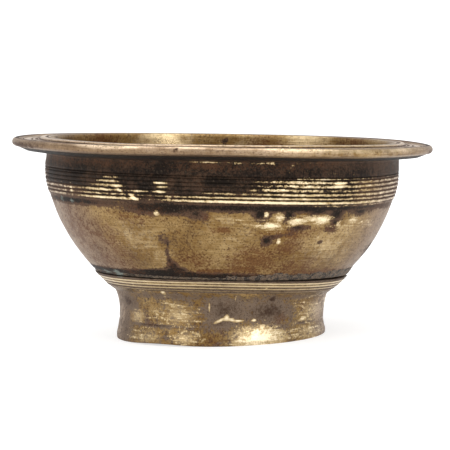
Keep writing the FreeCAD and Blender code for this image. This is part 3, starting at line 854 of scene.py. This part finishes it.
# rose of the painted highlights on the tan sides
PAINTED_HIGHLIGHT_ROSE = srgb(228, 202, 172)
ASH = srgb(120, 104, 88)
FOOT_SOOT_DARK = srgb(58, 42, 34)
FOOT_SOOT_LIGHT = srgb(112, 96, 82)
SOLDER_DARK = srgb(36, 28, 23)
SOLDER_PALE = srgb(140, 122, 100)
SOLDER_BROWN = srgb(82, 62, 46)
COTTON_SHADE = srgb(214, 204, 182)
COTTON_WHITE = srgb(244, 239, 226)
OIL_STAIN = srgb(206, 182, 128)
FLOOR_DARK = srgb(188, 188, 188)
FLOOR_PALE = srgb(194, 194, 194)


def aged_brass(name, soot_dark, soot_light, soot_depth):
    """Old brass: brown and copper stains, soot in the hollows, bare metal on what hands rub, with
    painted highlights, a painted sheen on the sides and painted shade laid in by the mesh's fields.
    """
    look = Look(name)
    spot = look.field("spot", "Vector")
    along_turning = look.stretched(spot, (0.12, 0.12, 2.6))
    grain = look.noise(spot, scale=4.5, detail=2.0, rough=0.6)
    fine = look.noise(spot, scale=1.7, detail=4.0, rough=0.62)
    mottle = look.noise(spot, scale=0.42, detail=6.0, rough=0.62, swirl=0.4)
    cloud = look.noise(spot, scale=0.085, detail=4.0, rough=0.5)
    wash = look.noise(spot, scale=0.17, detail=5.0, rough=0.65, swirl=0.8)
    speck = look.noise(spot, scale=2.3, detail=1.5, rough=0.5)
    streak = look.noise(along_turning, scale=1.0, detail=4.0, rough=0.6)
    breaks = look.noise(look.stretched(spot, (1.0, 1.0, 2.2)), scale=0.55, detail=5.0, rough=0.7)
    ticks = look.noise(look.stretched(spot, (2.6, 2.6, 0.5)), scale=1.0, detail=3.0, rough=0.6)
    crest, soot_field, rust_field = look.field("crest"), look.field("soot"), look.field("rust")

    # the metal itself, olive to straw, glazed amber, pinkish tan with a painted sheen on the sides, and
    # freckled with umber
    tone = look.weigh((mottle, 1.0), (cloud, 0.9), (streak, 0.6), (fine, 0.3))
    colour = look.mix(look.step(tone, -0.26, 0.24), OLIVE, STRAW)
    glaze = look.weigh((wash, 1.0), (fine, 0.4))
    colour = look.mix(look.step(glaze, 0.0, 0.22, 0.5), colour, AMBER)
    # pinkish tan on the sides, partly a painted sheen of the limbs
    tan = look.step(look.weigh((look.field("tan"), 1.0), (mottle, 1.6)), -0.6, 0.8)
    colour = look.mix(look.times(tan, 0.85), colour, TAN_AND_SHEEN)
    umber = look.weigh((mottle, 1.0), (fine, 1.3), (cloud, -1.0))
    colour = look.mix(look.step(umber, -0.04, 0.34, 0.7), colour, UMBER)
    freckles = look.step(look.weigh((fine, 1.3), (grain, 1.0), (mottle, 0.5)), 0.12, 0.38, 0.85)
    colour = look.mix(freckles, colour, UMBER)
    scratches = look.weigh((streak, 1.0), (ticks, 0.3))
    colour = look.mix(look.step(scratches, 0.17, 0.24, 0.45), colour, STRAW)
    # painted highlights and painted reflections: where the highlight field is high the colour turns
    # cream, or rose on the tan sides, and the metal is smoother
    painted_shine = look.weigh((look.field("painted_shine"), 1.0), (mottle, 1.2), (fine, 0.8), (streak, 0.8))
    painted_highlight = look.step(painted_shine, 0.0, 1.2, 0.95)
    colour = look.mix(painted_highlight, colour, look.mix(tan, PAINTED_HIGHLIGHT_CREAM, PAINTED_HIGHLIGHT_ROSE))
    rust = look.weigh((rust_field, 1.0), (mottle, 2.4), (fine, 2.2), (speck, 1.0))
    colour = look.mix(look.step(rust, -0.2, 0.95, 0.85), colour, COPPER)

    # soot gathers in the hollows, browner at its edge and where the metal is rusty; the same field
    # carries the painted shade under the flange and along the bead
    hollow = look.math("SUBTRACT", 0.6, crest)
    soot_place = look.weigh((soot_field, 1.0), (hollow, 0.9), (mottle, 2.2), (fine, 2.0), (streak, 0.6))
    colour = look.mix(look.step(soot_place, -0.35, 0.25, 0.55), colour, UMBER)
    soot = look.step(soot_place, -0.1, 0.5, soot_depth)
    warm = look.weigh((mottle, 1.0), (rust_field, 0.3), (speck, 1.2), (cloud, 0.6))
    thin = look.math("SUBTRACT", 1.1, soot_field)
    patch = look.weigh((mottle, 1.0), (fine, 1.5), (speck, 0.8), (cloud, 0.5), (thin, 0.8))
    black = look.mix(look.step(patch, -0.14, 0.42), soot_dark, soot_light)
    black = look.mix(look.step(warm, -0.08, 0.3, 0.5), black, RUSSET)
    colour = look.mix(soot, colour, black)

    # dark and light specks over both, fewer dark ones under the painted highlights
    dark_speck = look.step(look.weigh((speck, 1.0), (fine, 0.6), (ticks, 0.3)), 0.0, 0.28, 0.75)
    dark_speck = look.times(dark_speck, look.blend(painted_highlight, 1.0, 0.35))
    colour = look.mix(dark_speck, colour, look.mix(soot, UMBER, soot_dark))
    light_speck = look.step(look.weigh((speck, -1.0), (fine, -0.5)), 0.06, 0.32, 0.3)
    colour = look.mix(light_speck, colour, look.mix(soot, STRAW, ASH))

    # rubbed places are bright and ragged, and take the crests first; on the bead they are painted
    # glints
    rise = look.times(look.math("SUBTRACT", crest, 0.6), 1.5)
    ragged = look.weigh((breaks, 4.0), (grain, 1.0), (speck, 1.6), (streak, 2.2))
    rub_place = look.add(look.field("rub"), rise, look.times(ragged, look.field("fray")))
    rub = look.step(rub_place, 0.1, 0.6)
    worn = look.mix(look.times(tan, 0.8), STRAW, TAN_AND_SHEEN)
    colour = look.mix(rub, colour, look.mix(look.step(rub_place, 0.2, 2.2), worn, BARE))

    green = look.weigh((look.field("bloom"), 1.0), (fine, 2.4), (grain, 1.0))
    bloomed = look.step(green, 0.1, 0.9, 0.7)
    colour = look.mix(bloomed, colour, VERDIGRIS)
    look.put(look.shader.inputs["Base Color"], colour)

    metal = look.blend(look.math("MAXIMUM", soot, bloomed), 0.92, 0.3)
    look.put(look.shader.inputs["Metallic"], look.blend(rub, metal, 1.0))
    matt = look.weigh(
        (look.blend(soot, 0.44, 0.62), 1.0), (mottle, 0.2), (freckles, 0.12), (painted_highlight, -0.2),
    )
    look.put(look.shader.inputs["Roughness"], look.blend(rub, matt, 0.36))
    look.shader.inputs["Specular IOR Level"].default_value = 0.12
    pits = look.step(look.weigh((grain, 1.0), (fine, 0.5)), 0.12, 0.3)
    relief = look.weigh(
        (fine, 0.5), (grain, 0.3), (streak, 0.35), (pits, -0.6), (rub, -0.25), (soot, 0.25),
    )
    look.bump(relief, 0.00007)
    return look.material


def solder_look():
    """Grey-brown granular solder with soot between its grains and a breath of verdigris."""
    look = Look("solder")
    spot = look.field("spot", "Vector")
    grain = look.noise(spot, scale=3.0, detail=2.0, rough=0.6)
    lumps = look.noise(spot, scale=0.7, detail=3.0, rough=0.6)
    shade = look.step(look.weigh((grain, 1.0), (lumps, 0.9)), -0.12, 0.26)
    colour = look.mix(shade, SOLDER_DARK, SOLDER_PALE)
    brown = look.step(lumps, -0.06, 0.16, 0.7)
    colour = look.mix(brown, colour, SOLDER_BROWN)
    bloomed = look.step(look.weigh((look.field("bloom"), 1.0), (grain, 1.8)), 0.0, 0.7, 0.8)
    look.put(look.shader.inputs["Base Color"], look.mix(bloomed, colour, VERDIGRIS))
    look.shader.inputs["Metallic"].default_value = 0.35
    look.put(look.shader.inputs["Roughness"], look.add(0.6, look.times(grain, 0.3)))
    look.bump(look.add(grain, lumps), 0.00025)
    return look.material


def cotton_look():
    """Soft white cotton, twisted, a little yellow from old oil near its pad."""
    look = Look("cotton")
    spot = look.field("spot", "Vector")
    upright = look.stretched(spot, (1.0, 1.0, 0.35))
    fibre = look.noise(upright, scale=3.0, detail=5.0, rough=0.7)
    fluff = look.noise(spot, scale=0.5, detail=4.0, rough=0.6)
    shade = look.step(look.weigh((fibre, 1.0), (fluff, 0.7)), -0.3, 0.3)
    colour = look.mix(shade, COTTON_SHADE, COTTON_WHITE)
    stained = look.step(look.weigh((look.field("oily"), 1.0), (fluff, 0.8)), 0.0, 0.9, 0.5)
    look.put(look.shader.inputs["Base Color"], look.mix(stained, colour, OIL_STAIN))
    look.shader.inputs["Roughness"].default_value = 0.95
    look.shader.inputs["Sheen Weight"].default_value = 0.35
    look.bump(look.add(fibre, look.times(fluff, 0.6)), 0.00025)
    return look.material


def floor_look():
    """White light table, glowing a little so that shadows stay faint."""
    look = Look("floor")
    spot = look.field("spot", "Vector")
    cloudy = look.add(0.5, look.noise(spot, scale=0.004, detail=2.0))
    look.put(look.shader.inputs["Base Color"], look.mix(cloudy, FLOOR_DARK, FLOOR_PALE))
    look.shader.inputs["Roughness"].default_value = 0.9
    look.shader.inputs["Emission Color"].default_value = WHITE
    look.shader.inputs["Emission Strength"].default_value = 0.62
    return look.material


# ------------------------ the wick
def wick_outline():
    """A flat pad of cotton that lies in the well, with a twisted stem standing on it."""
    pad_bottom = WELL_FLOOR + 0.25
    line = Outline(0, pad_bottom)
    line.line(0.4, pad_bottom).line(8.6, pad_bottom, 12).arc(8.2, 13.4, 1.15, -70, 60, 8)
    line.line(6.0, 15.4, 6).line(3.4, 15.85, 4).line(2.5, 17.0, 3)
    line.line(1.75, 19.0, 6).line(1.55, 33.6, 56).line(0.55, 36.0, 10).line(0.2, 36.2).line(0, 36.24)
    return line.points


def wick_wear(spots, bearing, radius, height):
    """Two twisted strands above, and soft folds gathered round the pad."""
    stem = ease(height, 16.2, 19.5)
    strands = np.cos(np.radians(2 * (bearing - 62 * height)))
    folds = np.cos(np.radians(11 * bearing)) + 0.6 * np.cos(np.radians(17 * bearing + 40))
    pad = (1 - ease(height, 15.9, 17.5)) * ease(radius, 2.0, 6.0)
    out = stem * radius * 0.144 * (strands - 1) + pad * (0.2 * folds - 0.5)
    fluff = ripple(spots, 2.0, 51)
    out += np.minimum(0.12 * fluff * np.minimum(radius / 1.5, 1), 0.2)
    up = pad * ease(height, 13.0, 14.6) * (0.16 * folds + 0.12 * fluff - 0.3)
    return np.zeros(bearing.shape), out, up


def oily(bearing, radius, height):
    """Old oil in the pad and at the foot of the stem."""
    return np.clip((17.5 - height) / 5, -1, 1)


# ------------------------ the pieces
bowl = lathe("bowl_brass", bowl_outline(), bowl_wear, {
    "rub": bowl_rub, "soot": bowl_soot, "rust": bowl_rust, "tan": bowl_tan_and_sheen, "bloom": bloom,
    "crest": bowl_crest, "painted_shine": bowl_painted_shine, "fray": bowl_fray,
})
foot = lathe("foot_brass", foot_outline(), foot_wear, {
    "rub": foot_rub, "soot": foot_soot, "rust": foot_rust, "tan": foot_tan_and_sheen, "bloom": bloom,
    "crest": foot_crest, "painted_shine": foot_painted_shine, "fray": foot_fray,
}, closed=True)
solder = lathe("solder_fillet", solder_outline(), solder_wear, {"bloom": bloom}, closed=True)
wick = lathe("cotton_strands", wick_outline(), wick_wear, {"oily": oily}, segments=96)

bowl_look = aged_brass("bowl_brass", SOOT, DUST, soot_depth=0.97)
foot_look = aged_brass("foot_brass", FOOT_SOOT_DARK, FOOT_SOOT_LIGHT, soot_depth=0.92)
for piece, node, body, slot, look in (
    (bowl, "bowl", "lamp", "bowl_brass", bowl_look),
    (foot, "foot", "lamp", "foot_brass", foot_look),
    (solder, "solder_ring", "lamp", "solder", solder_look()),
    (wick, "cotton_wick", "wick", "cotton", cotton_look()),
):
    piece.data.materials.append(look)
    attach(piece, body)
    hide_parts(node)

# ------------------------ stage, light and camera
FLOOR_REACH = 9000.0
corners = [(x * FLOOR_REACH, y * FLOOR_REACH, 0.0) for x, y in ((-1, -1), (1, -1), (1, 1), (-1, 1))]
floor_mesh = bpy.data.meshes.new("floor")
floor_mesh.from_pydata([tuple(v * MM for v in corner) for corner in corners], [], [(0, 1, 2, 3)])
set_places(floor_mesh, corners)
floor_mesh.materials.append(floor_look())
floor = bpy.data.objects.new("floor", floor_mesh)
bpy.context.scene.collection.objects.link(floor)

world = bpy.data.worlds.new("studio")
world.use_nodes = True
backdrop = world.node_tree.nodes["Background"]
backdrop.inputs["Color"].default_value = WHITE
backdrop.inputs["Strength"].default_value = 1.0
bpy.context.scene.world = world


def softbox(name, place, size, watts):
    """White area light turned towards the lamp; place and size are in metres."""
    data = bpy.data.lights.new(name, "AREA")
    data.shape = "RECTANGLE"
    data.size, data.size_y = size
    data.energy = watts
    light = bpy.data.objects.new(name, data)
    light.location = place
    towards_lamp = Vector((0, 0, 0.03)) - Vector(place)
    light.rotation_euler = towards_lamp.to_track_quat("-Z", "Y").to_euler()
    bpy.context.scene.collection.objects.link(light)


softbox("overhead", place=(0.0, -0.1, 1.3), size=(1.6, 1.4), watts=11.5)
softbox("left", place=(-0.9, -0.7, 0.5), size=(0.6, 0.7), watts=2.2)
softbox("right", place=(0.7, -0.9, 0.4), size=(0.4, 0.6), watts=2.2)

CAMERA_PLACE = (0.00013, -0.90154, 0.1121)
PITCH_DOWN, TILT = 5.28, 1.44
camera_data = bpy.data.cameras.new("camera")
camera_data.lens = 273.3
camera_data.sensor_width = 36.0
camera_data.clip_end = 50.0
camera = bpy.data.objects.new("camera", camera_data)
camera.location = CAMERA_PLACE
pitched = Matrix.Rotation(math.radians(90 - PITCH_DOWN), 3, "X")
rolled = Matrix.Rotation(math.radians(-TILT), 3, "Z")
camera.rotation_euler = (pitched @ rolled).to_euler()
bpy.context.scene.collection.objects.link(camera)
bpy.context.scene.camera = camera
bpy.context.scene.view_settings.view_transform = "Standard"
